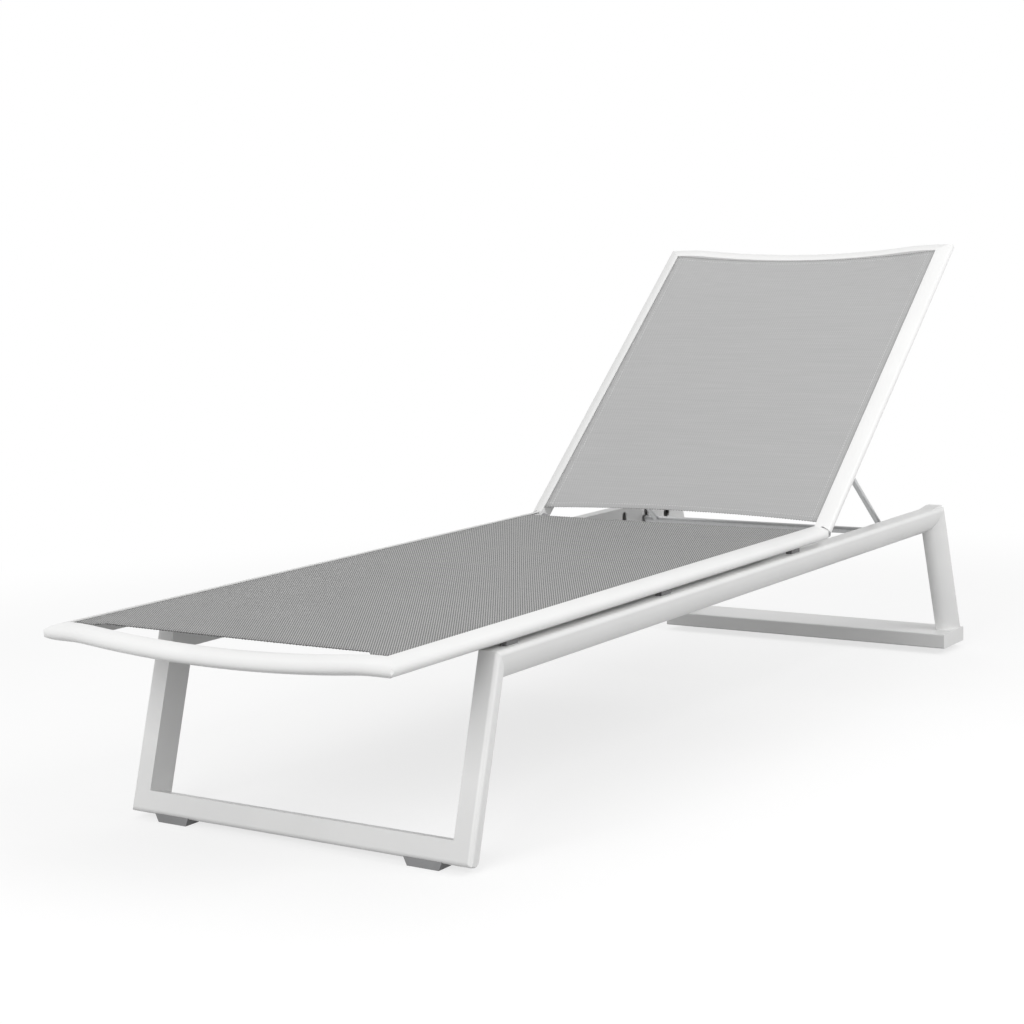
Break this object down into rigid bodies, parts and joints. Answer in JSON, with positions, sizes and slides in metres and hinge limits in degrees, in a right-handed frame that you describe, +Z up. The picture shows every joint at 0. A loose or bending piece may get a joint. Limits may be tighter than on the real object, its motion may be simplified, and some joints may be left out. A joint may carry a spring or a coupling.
{
  "type": "sun lounger",
  "caption": "Adjustable sun lounger: slim metal frame on sled-like end frames, mesh slings, and a hinged backrest propped by a bail.",
  "frame": {"origin": "on the floor, below the middle of the lounger's length and width", "axes": "+X to the side, +Y from the foot end to the head end, +Z up"},
  "size_m": [0.65, 1.9386, 0.8302],
  "materials": {
    "frame_paint": "satin white powder coat",
    "stay_metal": "satin grey",
    "fastener_steel": "stainless steel",
    "seat_mesh": "woven coated yarn",
    "back_mesh": "woven coated yarn",
    "dark_plastic": "matt",
    "cord_plastic": "matt"
  },
  "bodies": {
    "base": {"base_rail_left": "frame_paint", "base_rail_right": "frame_paint", "front_leg_left": "frame_paint", "front_leg_right": "frame_paint", "rear_leg_left": "frame_paint", "rear_leg_right": "frame_paint", "front_crossbar": "frame_paint", "rear_crossbar": "frame_paint", "front_pad_left": "dark_plastic", "front_pad_right": "dark_plastic", "rear_pad_left": "dark_plastic", "rear_pad_right": "dark_plastic", "rear_bar_caps": "frame_paint", "seat_rail_left": "frame_paint", "seat_rail_right": "frame_paint", "foot_bar": "frame_paint", "seat_spreader_front": "frame_paint", "seat_spreader_rear": "frame_paint", "seat_sling": "seat_mesh", "seat_spline_left": "cord_plastic", "seat_spline_right": "cord_plastic", "seat_spacers": "dark_plastic", "frame_bolts": "fastener_steel", "hinge_bolts": "fastener_steel", "hinge_washers": "fastener_steel", "hinge_nut_washers": "fastener_steel", "hinge_nuts": "fastener_steel"},
    "backrest": {"back_rail_left": "frame_paint", "back_rail_right": "frame_paint", "top_bar": "frame_paint", "back_spreader_lower": "frame_paint", "back_spreader_upper": "frame_paint", "back_sling": "back_mesh", "back_spline_left": "cord_plastic", "back_spline_right": "cord_plastic", "bail_pins": "fastener_steel"},
    "bail": {"bail_leg_left": "stay_metal", "bail_leg_right": "stay_metal", "bail_crossbar": "stay_metal", "bail_caps": "dark_plastic"}
  },
  "joints": [
    {"name": "backrest_hinge", "type": "hinge", "parent": "base", "child": "backrest", "pos_m": [0, 0.34305, 0.32175], "axis": [1, 0, 0], "range_deg": [-40.57, 20.03]},
    {"name": "bail_pivot", "type": "hinge", "parent": "backrest", "child": "bail", "pos_m": [0, 0.50386, 0.45943], "axis": [1, 0, 0], "range_deg": [-35.5, 71.3]}
  ],
  "couplings": [
    {"joint": "bail_pivot", "follows": "backrest_hinge", "ratio": -1.743}
  ]
}
